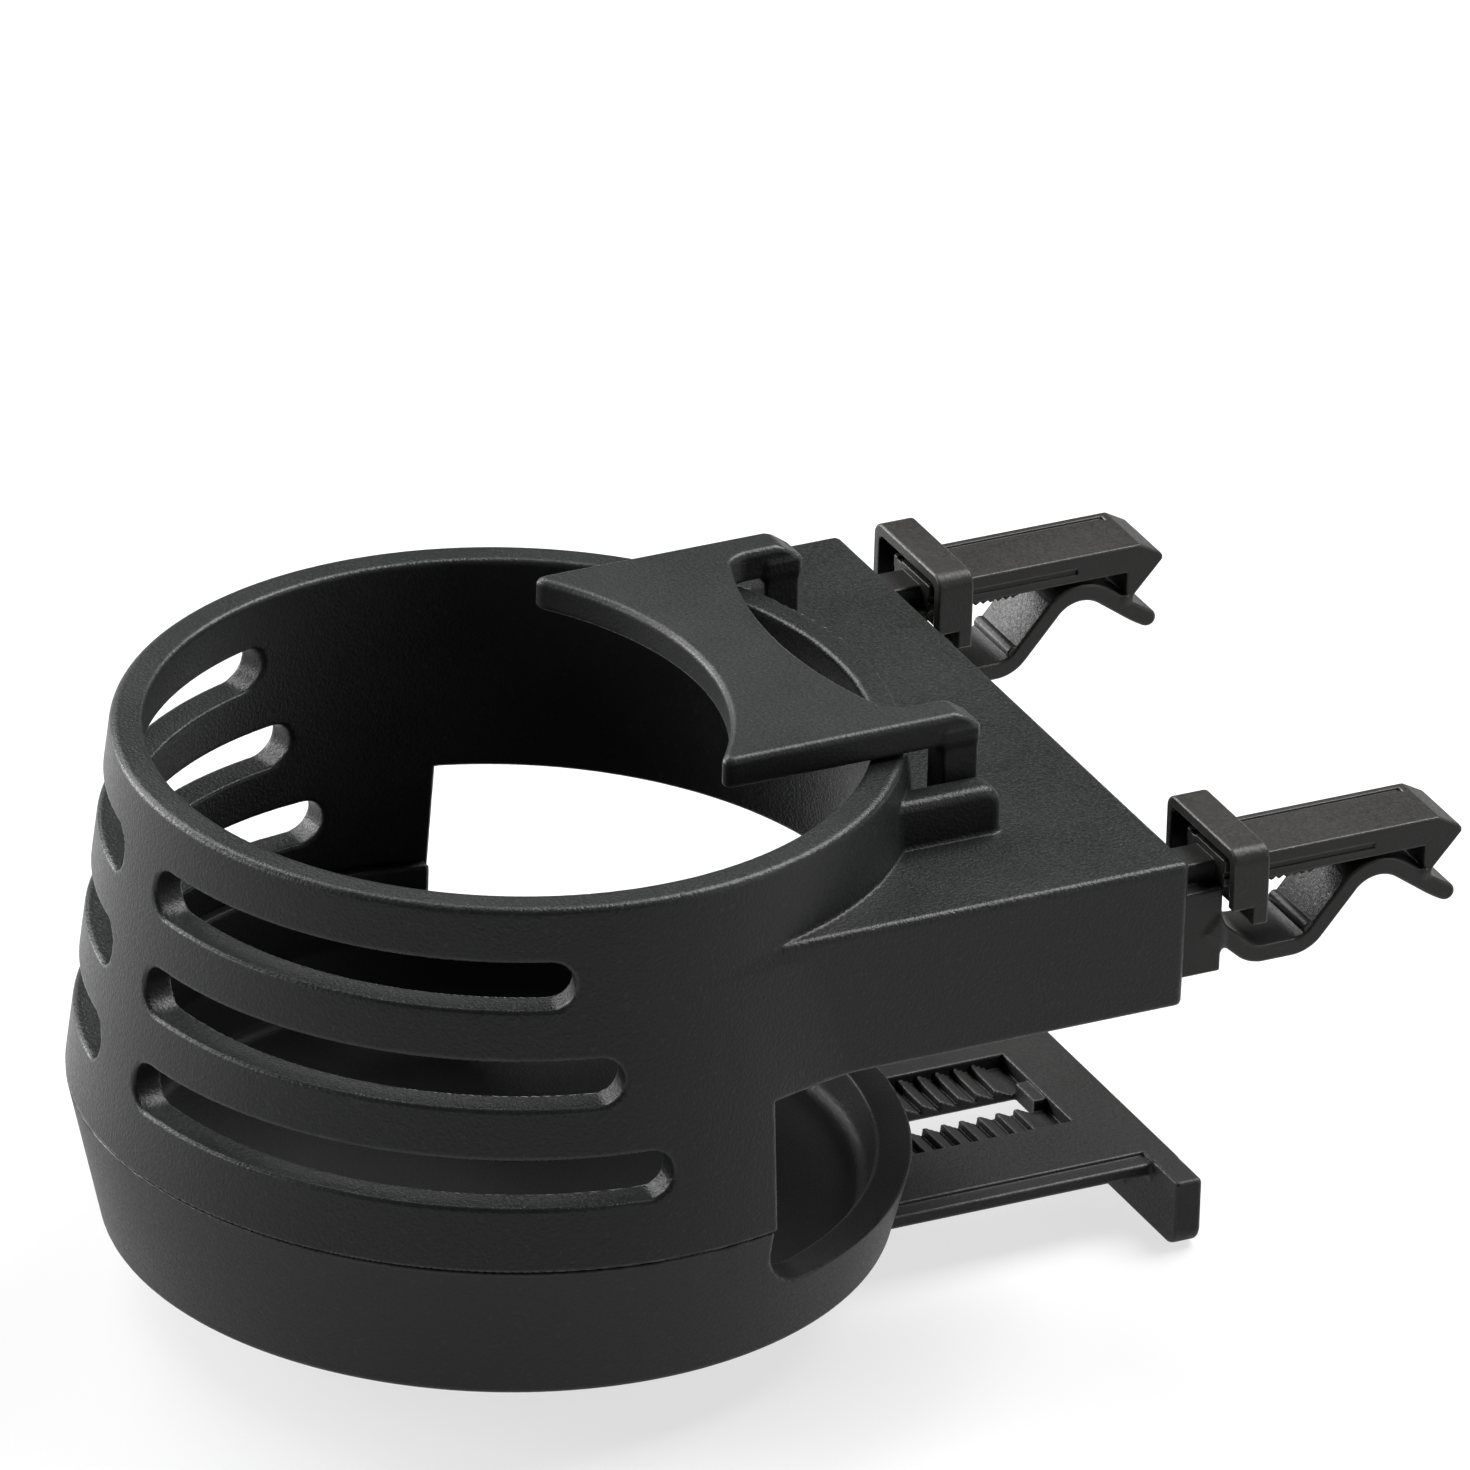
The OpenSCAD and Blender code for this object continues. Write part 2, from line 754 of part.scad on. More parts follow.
module jaw_section() {
    hook_y = jaw_l - 4.8;
    // Upper jaw with its hooked nose
    polygon([
        [root_d, jaw_low], [hook_y, jaw_low], [hook_y, 0.1], [hook_y + 0.2, -0.1], [hook_y + 0.8, -0.1],
        [jaw_l, jaw_top - 2.5], [jaw_l, jaw_top - 2], [jaw_l - 0.4, jaw_top - 1.5],
        [jaw_l - 3.1, jaw_top], [root_d, jaw_top]
    ]);
    // Block at the root
    translate([0, -root_drop]) square([root_d, root_drop + jaw_low - 0.4]);
    // Grip teeth under the upper jaw
    for (i = [0:grip_teeth - 1])
        translate([collar_y + collar_l + 0.3 + i * grip_pitch, jaw_low])
            polygon([[0, 0.1], [0.25, -grip_h], [grip_pitch, 0.1]]);
    // Lower jaw, a sprung strip that dips, climbs to a hump and falls to its lip
    bent_strip(
        [[5.78, dip_angle, 4], [3.6, 50, 4], [6.55, -86, 5], [4.5, 8, 20]],
        [root_d - 1.2, -1.45], -dip_angle, spring_t
    );
    // Cross rib that stiffens the dip
    translate([17.4, -4.4]) circle(0.8);
}

module clip_jaw(side) {
    groove_z = jaw_top - 2.3;
    ledge_w = 1.1;
    at_clip(side)
        difference() {
            union() {
                across(jaw_w) jaw_section();
                across(neck_w) {
                    translate([0, jaw_low - 1]) square([root_d, neck_top - jaw_low + 1]);
                    translate([0, jaw_low + 0.3]) square([root_d + 1, neck_top - jaw_low - 0.3]);
                }
                translate([0, 1, 0])
                    rotate([90, 0, 0]) cylinder(d = stem_d, h = stem_end + 1);
            }
            for (s = [-1, 1])
                translate([s * jaw_w / 2 - 0.4, root_d - 1, groove_z]) cube([0.8, jaw_l - 11.5 - root_d + 1, 0.6]);
            translate([-jaw_w / 2 + ledge_w, root_d - 1, jaw_top - 0.6]) cube([0.9, jaw_l - 4 - root_d + 1, 1]);
            translate([0, 2, 0])
                rotate([90, 0, 0]) cylinder(d = screw_d + 0.1, h = stem_end + 3);
        }
}

module clip_collar(side) {
    half = collar_w / 2;
    corner = 1.3;
    inner = jaw_w / 2 + collar_fit;
    top = jaw_top + collar_rise;
    low = jaw_low + slide_gap;
    hollow_top = top - collar_skin;
    at_clip(side)
        translate([0, collar_y + collar_l, 0])
            rotate([90, 0, 0])
                difference() {
                    union() {
                        linear_extrude(collar_l)
                            translate([-half, low]) {
                                square([collar_w, top - low - corner]);
                                translate([corner, 0]) square([collar_w - 2 * corner, top - low]);
                                for (x = [corner, collar_w - corner])
                                    translate([x, top - low - corner]) circle(corner);
                            }
                        // The rear wall reaches down round the jaw and closes under it
                        linear_extrude(blade_t)
                            translate([-half, blade_top - blade_h])
                                square([collar_w, low + 1 - blade_top + blade_h]);
                    }
                    translate([-inner, blade_top, -1])
                        cube([2 * inner, jaw_top + collar_fit - blade_top, far]);
                    // Hollow behind the rear wall, open to the box and below
                    translate([-half + collar_skin, low - 1, blade_t])
                        cube([collar_w - 2 * collar_skin, hollow_top - low + 1, far]);
                }
}

// The washer clamped on the end of the stem
module clip_washer(side) {
    at_clip(side)
        translate([0, -stem_end, 0])
            rotate([90, 0, 0])
                difference() {
                    cylinder(r = washer_r, h = washer_t);
                    translate([0, 0, -1]) cylinder(d = screw_d + 0.3, h = washer_t + 2);
                }
}

// The screw that holds the washer, driven into the stem from inside the box
module clip_screw(side) {
    at_clip(side)
        translate([0, -stem_end - washer_t, 0])
            rotate([-90, 0, 0]) screw(washer_t + stem_end + 1.2);
}

// The spring washer between the box's wall and the clamped washer
module clip_spring_washer(side) {
    room = stem_end - box_wall - collar_fit;
    at_clip(side)
        translate([0, -stem_end + 0.05, 0])
            rotate([-90, 0, 0])
                difference() {
                    cylinder(r = washer_r - 0.2, h = room - 0.1);
                    translate([0, 0, -1]) cylinder(d = stem_d + 0.5, h = room + 2);
                }
}

housing();
base_cup();
box_cover();
box_cover_screws();
presser();
leg();
leg_guide();
leg_guide_screws();
leg_catch();
leg_catch_screws();
color("#3a3735") clip_jaw(-1);  // clip_jaw_left
color("#3a3735") clip_jaw(1);  // clip_jaw_right
color("#343433") clip_collar(-1);  // clip_collar_left
color("#343433") clip_collar(1);  // clip_collar_right
color("silver") clip_screw(-1);  // clip_screw_left
color("silver") clip_screw(1);  // clip_screw_right
color("silver") clip_washer(-1);  // clip_washer_left
color("silver") clip_washer(1);  // clip_washer_right
color("gray") clip_spring_washer(-1);  // clip_spring_washer_left
color("gray") clip_spring_washer(1);  // clip_spring_washer_right
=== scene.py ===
"""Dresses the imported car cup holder: grained plastic mouldings, plated screws and a plain studio."""
import math

import bpy
import numpy as np
from mathutils import Matrix, Vector


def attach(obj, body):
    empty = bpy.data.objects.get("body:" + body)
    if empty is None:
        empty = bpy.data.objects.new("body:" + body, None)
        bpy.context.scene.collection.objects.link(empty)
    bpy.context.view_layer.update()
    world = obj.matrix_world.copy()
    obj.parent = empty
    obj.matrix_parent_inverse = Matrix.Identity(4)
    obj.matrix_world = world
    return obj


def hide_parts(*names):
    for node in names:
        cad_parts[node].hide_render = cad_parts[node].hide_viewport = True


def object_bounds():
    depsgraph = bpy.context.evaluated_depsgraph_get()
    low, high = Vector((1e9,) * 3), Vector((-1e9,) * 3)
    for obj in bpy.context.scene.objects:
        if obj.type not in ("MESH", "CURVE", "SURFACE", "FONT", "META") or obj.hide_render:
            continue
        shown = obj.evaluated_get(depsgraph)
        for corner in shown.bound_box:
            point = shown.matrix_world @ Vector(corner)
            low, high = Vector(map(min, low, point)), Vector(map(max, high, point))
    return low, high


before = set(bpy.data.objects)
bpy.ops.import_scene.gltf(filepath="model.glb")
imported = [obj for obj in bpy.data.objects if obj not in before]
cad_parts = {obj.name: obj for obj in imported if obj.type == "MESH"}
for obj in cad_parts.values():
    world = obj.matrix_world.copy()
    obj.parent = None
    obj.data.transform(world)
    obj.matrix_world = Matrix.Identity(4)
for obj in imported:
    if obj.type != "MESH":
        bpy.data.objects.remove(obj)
cad_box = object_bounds()
scene = bpy.context.scene

# The ring and the box behind it are one moulding in charcoal plastic with a fine spark grain.
# The ring is a cone with three curved slots on each side, the box carries the vent clips, and
# two ears on its top hold the presser. Sizes are in millimetres over the underside of the base.
FLOOR = 3.6
RIM_Z, RIM_R, RIM_EDGE = 62.0, 46.0, 0.8
SEAM_Z, SEAM_R, SEAM_EDGE = 17.5, 50.5, 0.3
RING_WALL, BORE_EDGE, RING_REACH = 4.0, 0.7, 50.6
BOX_X, BOX_FRONT, BOX_BACK, BOX_LOW, BOX_TOP = 45.0, 3.0, 65.5, 33.4, 52.5
BOX_WALL, BOX_LEAN, BOX_EDGE = 2.5, 0.7, 0.9
JOIN_R, JOIN_GROWTH, JOIN_DEPTH = 0.3, 1.4, 2.0
EAR_IN, EAR_OUT, EAR_FRONT, EAR_BACK, EAR_TOP = 25.8, 30.0, 34.0, 48.95, 58.4
EAR_CORNER, EAR_EDGE = 2.3, 1.2
PIVOT_Y, PIVOT_Z, PIN_HOLE_R, PIN_HOLE_X = 45.7, 55.4, 1.37, (24.0, 28.5)
POST_ROOM_Y = (42.6, 50.0)
BOSSES, BOSS_R, BOSS_HOLE_R, BOSS_LIFT = ((38.5, 39.0), (24.0, 59.0)), 3.6, 1.1, 3.6
WINDOW_Y, SILL_Z, WINDOW_CORNER = 12.0, 8.5, 6.2
CLIP_X, CLIP_Z, STEM_HOLE_R = 38.0, 43.3, 2.62


def soft_edge(a, b, r):
    """What lies inside both shapes, with the edge between them rounded by r."""
    return np.minimum(np.maximum(a, b), -r) + np.hypot(np.maximum(a + r, 0), np.maximum(b + r, 0))


def fillet(a, b, r):
    """Both shapes in one, with the corner between them filled by radius r."""
    return -soft_edge(-a, -b, r)


def cut(a, b, r):
    """Shape a with shape b taken out, and the edges of the cut rounded by r."""
    return soft_edge(a, -b, r)


def slab(v, low, high):
    """The layer between two heights."""
    return np.maximum(low - v, v - high)


def block(x, y, z, low, high, r):
    """A box with all its edges rounded by r."""
    sides = soft_edge(slab(x, low[0], high[0]), slab(y, low[1], high[1]), r)
    return soft_edge(sides, slab(z, low[2], high[2]), r)


def drawn(u, v, corners):
    """Distance to a closed outline that is drawn corner by corner."""
    u, v = np.broadcast_arrays(u, v)
    near = np.full(u.shape, 1e9)
    inside = np.zeros(u.shape, bool)
    for (au, av), (bu, bv) in zip(corners, corners[1:] + corners[:1]):
        du, dv = bu - au, bv - av
        along = np.clip(((u - au) * du + (v - av) * dv) / (du * du + dv * dv), 0, 1)
        near = np.minimum(near, (u - au - along * du) ** 2 + (v - av - along * dv) ** 2)
        if dv:
            crosses = (av > v) != (bv > v)
            inside ^= crosses & (u < au + (v - av) * du / dv)
    return np.where(inside, -1, 1) * np.sqrt(near)


def slope(shape, p, h):
    """How far each point is from a shape, which way is out, and how sharply the shape bends there."""
    here = shape(*p.T)
    ahead, behind = np.empty_like(p), np.empty_like(p)
    for axis in range(3):
        step = np.zeros(3)
        step[axis] = h
        ahead[:, axis] = shape(*(p + step).T)
        behind[:, axis] = shape(*(p - step).T)
    way = (ahead - behind) / (2 * h)
    steep = np.maximum(np.linalg.norm(way, axis=1), 0.3)
    bend = ((ahead + behind).sum(1) - 6 * here) / (h * h)
    return here / steep, way / steep[:, None], bend


def skin(shape, low, high, step):
    """Points and four-sided faces that cover a shape, found on a grid of the given step."""
    low = np.array(low, float) - 2.3 * step
    size = np.ceil((np.array(high) + 2.3 * step - low) / step).astype(int) + 1
    x, y, z = (low[k] + step * np.arange(size[k]) for k in range(3))
    depth = shape(x[:, None, None], y[None, :, None], z[None, None, :])
    depth = np.broadcast_to(depth, size).astype(np.float32)
    inside = depth < 0
    hits, rings = [], []
    for axis in range(3):
        here, there = [slice(None)] * 3, [slice(None)] * 3
        here[axis], there[axis] = slice(0, -1), slice(1, None)
        at = np.argwhere(inside[tuple(here)] != inside[tuple(there)])
        ahead = np.zeros(3, int)
        ahead[axis] = 1
        near, far = depth[tuple(at.T)], depth[tuple((at + ahead).T)]
        hits.append(low + step * (at + np.outer(near / (near - far), ahead)))
        b, c = (axis + 1) % 3, (axis + 2) % 3
        around = []
        for back_b, back_c in ((1, 1), (0, 1), (0, 0), (1, 0)):
            cell = at.copy()
            cell[:, b] -= back_b
            cell[:, c] -= back_c
            around.append(np.ravel_multi_index(cell.T, size))
        around = np.stack(around, 1)
        rings.append(np.where((near < 0)[:, None], around, around[:, ::-1]))
    rings, hits = np.concatenate(rings), np.concatenate(hits)
    _, faces = np.unique(rings.ravel(), return_inverse=True)
    share = np.bincount(faces)
    points = np.stack([np.bincount(faces, np.repeat(hits[:, k], 4)) / share for k in range(3)], 1)
    return points, faces.reshape(-1, 4)


def settle(shape, points, step, rounds):
    """Points moved onto the surface of a shape."""
    for _ in range(rounds):
        here, way, _ = slope(shape, points, 0.15 * step)
        points = points - way * np.clip(here, -step, step)[:, None]
    return points


def mould(name, shape, low, high, step, triangles, wear=0.3, shift=(0, 0, 0)):
    """A moulded piece as a mesh in metres: skinned, thinned to a number of triangles, and shaded exactly."""
    points, faces = skin(shape, low, high, step)
    points = settle(shape, points, step, 2)
    mesh = bpy.data.meshes.new(name)
    mesh.from_pydata(points, [], faces)
    piece = bpy.data.objects.new(name, mesh)
    scene.collection.objects.link(piece)
    if 2 * len(faces) > triangles:
        thin = piece.modifiers.new("thin", "DECIMATE")
        thin.ratio = triangles / (2 * len(faces))
        thin.use_collapse_triangulate = True
        solid = bpy.data.meshes.new_from_object(piece.evaluated_get(bpy.context.evaluated_depsgraph_get()))
        piece.modifiers.clear()
        piece.data = solid
        bpy.data.meshes.remove(mesh)
        mesh = solid
        mesh.name = name
    points = np.empty(len(mesh.vertices) * 3)
    mesh.vertices.foreach_get("co", points)
    points = settle(shape, points.reshape(-1, 3), 0.4 * step, 1)
    _, way, _ = slope(shape, points, 0.25 * step)
    _, _, bend = slope(shape, points, wear)
    edge = mesh.attributes.new("edge", "FLOAT", "POINT")
    edge.data.foreach_set("value", np.clip(bend * wear, -1, 1).astype(np.float32))
    placed = (points + np.array(shift) - (0, 0, FLOOR)) * 0.001
    mesh.vertices.foreach_set("co", placed.ravel())
    mesh.polygons.foreach_set("use_smooth", np.ones(len(mesh.polygons), bool))
    mesh.normals_split_custom_set_from_vertices(way)
    mesh.update()
    return piece


def ring_radius(z):
    return RIM_R + (SEAM_R - RIM_R) * (RIM_Z - z) / (RIM_Z - SEAM_Z)


RING_LEAN = math.cos(math.atan((SEAM_R - RIM_R) / (RIM_Z - SEAM_Z)))
SLOT_H, SLOT_LOW, SLOT_PITCH, SLOT_EDGE = 5.8, 28.3, 12.1, 0.5
SLOT_GAP, SLOT_SWEEP, SLOT_SHORTER = 5.5, 84.5, 7.0
SLOT_FIRST = -90 + SLOT_GAP + math.degrees(math.asin(SLOT_H / 2 / SEAM_R))


def rear_window(y, z):
    """The open space behind the cup, under the box."""
    return np.maximum(soft_edge(WINDOW_Y - y, SILL_Z - z, WINDOW_CORNER), z - BOX_LOW)


def housing_shape(x, y, z):
    x = np.abs(x)
    r = np.hypot(x, y)
    cone = (r - ring_radius(z)) * RING_LEAN
    bore = (r - ring_radius(z) + RING_WALL) * RING_LEAN
    ring = soft_edge(soft_edge(cone, z - RIM_Z, RIM_EDGE), SEAM_Z - z, SEAM_EDGE)
    draft = BOX_LEAN * np.clip((z - BOX_LOW) / (BOX_TOP - BOX_LOW), 0, 1)
    box = block(x - draft, y, z, (-BOX_X, -1.0, BOX_LOW), (BOX_X, BOX_BACK, BOX_TOP), BOX_EDGE)
    join = JOIN_R + JOIN_GROWTH * np.clip((BOX_TOP - JOIN_R - z) / JOIN_DEPTH, 0, 1)
    body = fillet(ring, np.maximum(box, BOX_FRONT - y), join)
    ear = soft_edge(y - EAR_BACK, z - EAR_TOP, EAR_CORNER)
    ear = soft_edge(ear, slab(x, EAR_IN, EAR_OUT), EAR_EDGE)
    ear = np.maximum(ear, np.maximum(EAR_FRONT - y, 50 - z))
    body = fillet(body, ear, 0.3)
    post_room = np.maximum(slab(x, -1, EAR_IN), slab(y, *POST_ROOM_Y))
    post_room = np.maximum(post_room, BOX_TOP + 0.02 - z)
    body = np.maximum(body, -np.maximum(post_room, -0.6 - cone))
    room = np.maximum(x - BOX_X + BOX_WALL, y - BOX_BACK + BOX_WALL)
    room = np.maximum(room, z - BOX_TOP + BOX_WALL)
    body = cut(body, np.maximum(np.maximum(room, -cone), -y), 0.4)
    for px, py in BOSSES:
        off = np.hypot(x - px, y - py)
        boss = np.maximum(off - BOSS_R, slab(z, BOX_LOW + BOSS_LIFT, BOX_TOP - 1))
        body = np.minimum(body, np.maximum(boss, BOSS_HOLE_R - off))
    body = soft_edge(body, -bore, BORE_EDGE)
    turn = np.degrees(np.arctan2(y, x))
    for i in range(3):
        last = -90 + SLOT_SWEEP - SLOT_SHORTER * i
        middle, half = (SLOT_FIRST + last) / 2, (last - SLOT_FIRST) / 2
        rise = z - SLOT_LOW - SLOT_PITCH * i
        run = np.maximum(np.abs(turn - middle) - half, 0) * math.pi / 180 * r
        slot = np.maximum(np.hypot(run, rise) - SLOT_H / 2, 30 - r)
        body = cut(body, slot, SLOT_EDGE)
    body = cut(body, rear_window(y, z), 0.5)
    stem = np.maximum(np.hypot(x - CLIP_X, z - CLIP_Z) - STEM_HOLE_R, 60 - y)
    pin = np.maximum(np.hypot(y - PIVOT_Y, z - PIVOT_Z) - PIN_HOLE_R, slab(x, *PIN_HOLE_X))
    return np.maximum(np.maximum(body, -stem), -pin)


class Tone:
    """A value in a finish. Sums and products of values add their Math nodes."""

    def __init__(self, finish, socket):
        self.finish = finish
        self.socket = socket

    def maths(self, operation, a, b):
        return self.finish.node("ShaderNodeMath", {"operation": operation}, {0: a, 1: b})

    def __add__(self, other):
        return self.maths("ADD", self, other)

    def __sub__(self, other):
        return self.maths("SUBTRACT", self, other)

    def __mul__(self, other):
        return self.maths("MULTIPLY", self, other)

    def __rsub__(self, other):
        return self.maths("SUBTRACT", other, self)

    __radd__ = __add__
    __rmul__ = __mul__


class Finish:
    """A material, built node by node around one Principled shader."""

    def __init__(self, name, **fixed):
        self.material = bpy.data.materials.new(name)
        self.material.use_nodes = True
        self.tree = self.material.node_tree
        self.shader = self.tree.nodes["Principled BSDF"]
        for socket, value in fixed.items():
            self.shader.inputs[socket.replace("_", " ")].default_value = value

    def node(self, kind, settings=None, sockets=None, out=0):
        """Adds a node, with its settings first and then its sockets' values or links."""
        made = self.tree.nodes.new(kind)
        for name, value in (settings or {}).items():
            setattr(made, name, value)
        for name, value in (sockets or {}).items():
            if isinstance(value, Tone):
                self.tree.links.new(value.socket, made.inputs[name])
            else:
                made.inputs[name].default_value = value
        return Tone(self, made.outputs[out])

    def speckle(self, size, detail=2.0, rough=0.5):
        """Noise whose grains are about size metres across."""
        place = self.node("ShaderNodeTexCoord", out="Object")
        sockets = {"Vector": place, "Scale": 1 / size, "Detail": detail, "Roughness": rough}
        return self.node("ShaderNodeTexNoise", None, sockets)

    def between(self, share, a, b):
        """A colour that goes from a to b, each of them a colour or a Tone."""
        sockets = {"Factor": share}
        for place, end in ((6, a), (7, b)):
            sockets[place] = end if isinstance(end, Tone) else (*end, 1)
        return self.node("ShaderNodeMix", {"data_type": "RGBA"}, sockets, 2)

    def clamp(self, value, low, high):
        """Value stretched so that low becomes 0 and high becomes 1, and kept between them."""
        return self.node("ShaderNodeMapRange", None, {"Value": value, "From Min": low, "From Max": high})

    def feed(self, socket, value):
        self.tree.links.new(value.socket, self.shader.inputs[socket])


def moulded_plastic(name, dark, light, worn_and_glint_tone, grain, depth, rough):
    """Dark plastic with a moulded grain, faint clouding, edges that handling has polished paler, and sparse
    pale flecks that are painted glints.
    """
    finish = Finish(name, Specular_IOR_Level=0.2)
    cloud = finish.clamp(finish.speckle(0.018, 3.0), 0.35, 0.65)
    fine = finish.speckle(grain, 2.0, 0.6)
    # Sparse pale flecks in the colour are painted glints of the spark grain, standing in for its sparkle in
    # the highlights.
    painted_glint = finish.clamp(finish.speckle(grain * 1.7, 1.0), 0.62, 0.74)
    edge = finish.node("ShaderNodeAttribute", {"attribute_name": "edge"}, out="Fac")
    scuffed = finish.clamp(edge + finish.speckle(0.004, 3.0) * 0.5, 0.45, 0.95)
    base = finish.between(cloud * 0.6 + finish.clamp(fine, 0.3, 0.7) * 0.4, dark, light)
    # The pale painted glints go into the colour first, then the paler wear on the edges, both in the same
    # pale tone.
    base = finish.between(painted_glint * 0.12, base, worn_and_glint_tone)
    base = finish.between(scuffed * 0.35, base, worn_and_glint_tone)
    finish.feed("Base Color", base)
    finish.feed("Roughness", rough + (fine - 0.5) * 0.4 + (cloud - 0.5) * 0.05 - scuffed * 0.1)
    bump = finish.node("ShaderNodeBump", None, {"Strength": 0.8, "Distance": depth, "Height": fine})
    finish.feed("Normal", bump)
    return finish.material


CHARCOAL = moulded_plastic(
    "charcoal_grained_plastic",
    dark=(0.0062, 0.0072, 0.0065),
    light=(0.0092, 0.0104, 0.0095),
    worn_and_glint_tone=(0.050, 0.054, 0.052),
    grain=0.00040,
    depth=0.00011,
    rough=0.40,
)


def coat(piece, material):
    """Gives a piece one material and takes away what it had."""
    piece.data.materials.clear()
    piece.data.materials.append(material)


def dress(piece, material, body, slot, *nodes):
    """Gives a piece its finish and its place among the bodies, in the stead of its CAD nodes."""
    coat(piece, material)
    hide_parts(*nodes)
    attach(piece, body)


RING_BOX = ((-RING_REACH, -RING_REACH, SEAM_Z), (RING_REACH, BOX_BACK, RIM_Z))
ring_and_box = mould("ring_and_clip_box", housing_shape, *RING_BOX, step=0.45, triangles=175000)
dress(ring_and_box, CHARCOAL, "holder", "body_plastic", "housing")


# The base is a shallow dish that closes the ring from below and carries the cup. It is moulded
# in the same plastic with a finer grain, tucks a thin lip inside the ring, and has the stop
# for the leg and a pocket for the leg's catch under its floor.
FOOT_R, BASE_WALL, BASE_EDGE, INSIDE_R = 46.3, 4.2, 0.8, 1.3
LIP_H, LIP_T, LIP_GAP, LIP_ROOT = 3.0, 1.6, 0.2, 3.0
FOOT_RING_H, FOOT_RING_IN, WAY_X = 0.7, 42.1, 25.1
WINDOW_FORWARD = 0.5
STOP_Y, STOP_R, STOP_LOW = 38.2, 2.1, -2.9
POCKET_X, POCKET_Y, POCKET_H = 8.4, (16.9, 35.7), 1.8


def base_radius(z):
    return FOOT_R + (SEAM_R - FOOT_R) * z / SEAM_Z


def base_shape(x, y, z):
    x = np.abs(x)
    r = np.hypot(x, y)
    lean = math.cos(math.atan((SEAM_R - FOOT_R) / SEAM_Z))
    dish = soft_edge((r - base_radius(z)) * lean, -FOOT_RING_H - z, BASE_EDGE)
    dish = soft_edge(dish, z - SEAM_Z, SEAM_EDGE)
    under = np.maximum(z, np.minimum(r - FOOT_RING_IN, np.maximum(x - WAY_X, -y)))
    dish = cut(dish, under, 0.3)
    lip_r = SEAM_R - RING_WALL - LIP_GAP
    lip = soft_edge(r - lip_r, z - SEAM_Z - LIP_H, 0.4)
    lip = soft_edge(lip, SEAM_Z - LIP_ROOT - z, 0.1)
    room = np.maximum((r - base_radius(z) + BASE_WALL) * lean, r - lip_r + LIP_T)
    dish = cut(np.minimum(dish, lip), soft_edge(room, FLOOR - z, INSIDE_R), 0.4)
    dish = cut(dish, rear_window(y + WINDOW_FORWARD, z), 0.3)
    stop = np.maximum(np.hypot(x, y - STOP_Y) - STOP_R, slab(z, STOP_LOW, 1))
    dish = np.minimum(dish, stop)
    pocket = np.maximum(np.maximum(x - POCKET_X, slab(y, *POCKET_Y)), z - POCKET_H)
    return np.maximum(dish, -pocket)


BASE_PLASTIC = moulded_plastic(
    "charcoal_fine_plastic",
    dark=(0.0070, 0.0078, 0.0068),
    light=(0.0098, 0.0108, 0.0096),
    worn_and_glint_tone=(0.045, 0.048, 0.045),
    grain=0.00035,
    depth=0.00006,
    rough=0.50,
)
BASE_BOX = ((-RING_REACH, -RING_REACH, STOP_LOW), (RING_REACH, RING_REACH, SEAM_Z + LIP_H))
base_dish = mould("base_dish", base_shape, *BASE_BOX, step=0.5, triangles=120000)
dress(base_dish, BASE_PLASTIC, "holder", "body_plastic", "base_cup")


# The presser is a flat plate with hollow front and rear edges that closes the opening up to a
# slimmer can. Two arms turn down into short posts, and the pins on the posts snap into the ears,
# so that the plate can be flipped up and out of the way.
PRESSER_X, PRESSER_LOW, PRESSER_T, PRESSER_EDGE = 25.5, 62.3, 4.0, 0.8
FRONT_Y, FRONT_R = -14.8, 38.7
REAR_Y, REAR_R = 88.5, 54.0
BEVEL_Y, BEVEL_Z = 2.6, 1.8
ARM_W, POST_D, POST_EDGE = 4.5, 4.5, 0.5
PIN_R, PIN_OUT = 1.3, 2.4


def presser_shape(x, y, z):
    x = np.abs(x)
    back = PIVOT_Y + POST_D / 2
    front_hollow = FRONT_R - np.hypot(x, y - FRONT_Y)
    rear_hollow = np.hypot(x, y - REAR_Y) - REAR_R
    outline = soft_edge(x - PRESSER_X, front_hollow, 1.8)
    outline = soft_edge(outline, y - back, 1.0)
    outline = cut(outline, soft_edge(rear_hollow, x - PRESSER_X + ARM_W, 2.0), 0.3)
    plate = soft_edge(outline, slab(z, PRESSER_LOW, PRESSER_LOW + PRESSER_T), PRESSER_EDGE)
    over = z - PRESSER_LOW - PRESSER_T
    bevel = ((y - back + BEVEL_Y) * BEVEL_Z + over * BEVEL_Y) / math.hypot(BEVEL_Z, BEVEL_Y)
    plate = soft_edge(plate, bevel, 0.4)
    arm = slab(x, PRESSER_X - ARM_W, PRESSER_X)
    from_pivot = np.hypot(y - PIVOT_Y, z - PIVOT_Z)
    round_end = soft_edge(from_pivot - POST_D / 2, arm, POST_EDGE)
    post = soft_edge(np.abs(y - PIVOT_Y) - POST_D / 2, arm, POST_EDGE)
    post = soft_edge(post, slab(z, PIVOT_Z, PRESSER_LOW + 2), 0.1)
    pin = soft_edge(from_pivot - PIN_R, slab(x, PRESSER_X - 1, PRESSER_X + PIN_OUT), 0.3)
    return np.minimum(fillet(plate, np.minimum(post, round_end), 0.8), pin)


PRESSER_PLASTIC = moulded_plastic(
    "charcoal_presser_plastic",
    dark=(0.0075, 0.0085, 0.0078),
    light=(0.0105, 0.0116, 0.0108),
    worn_and_glint_tone=(0.048, 0.052, 0.050),
    grain=0.00038,
    depth=0.00007,
    rough=0.44,
)
PRESSER_BOX = ((-27.9, 16, 53.1), (27.9, 48, 66.3))
presser = mould("presser_plate", presser_shape, *PRESSER_BOX, step=0.33, triangles=90000)
dress(presser, PRESSER_PLASTIC, "presser", "body_plastic", "presser")


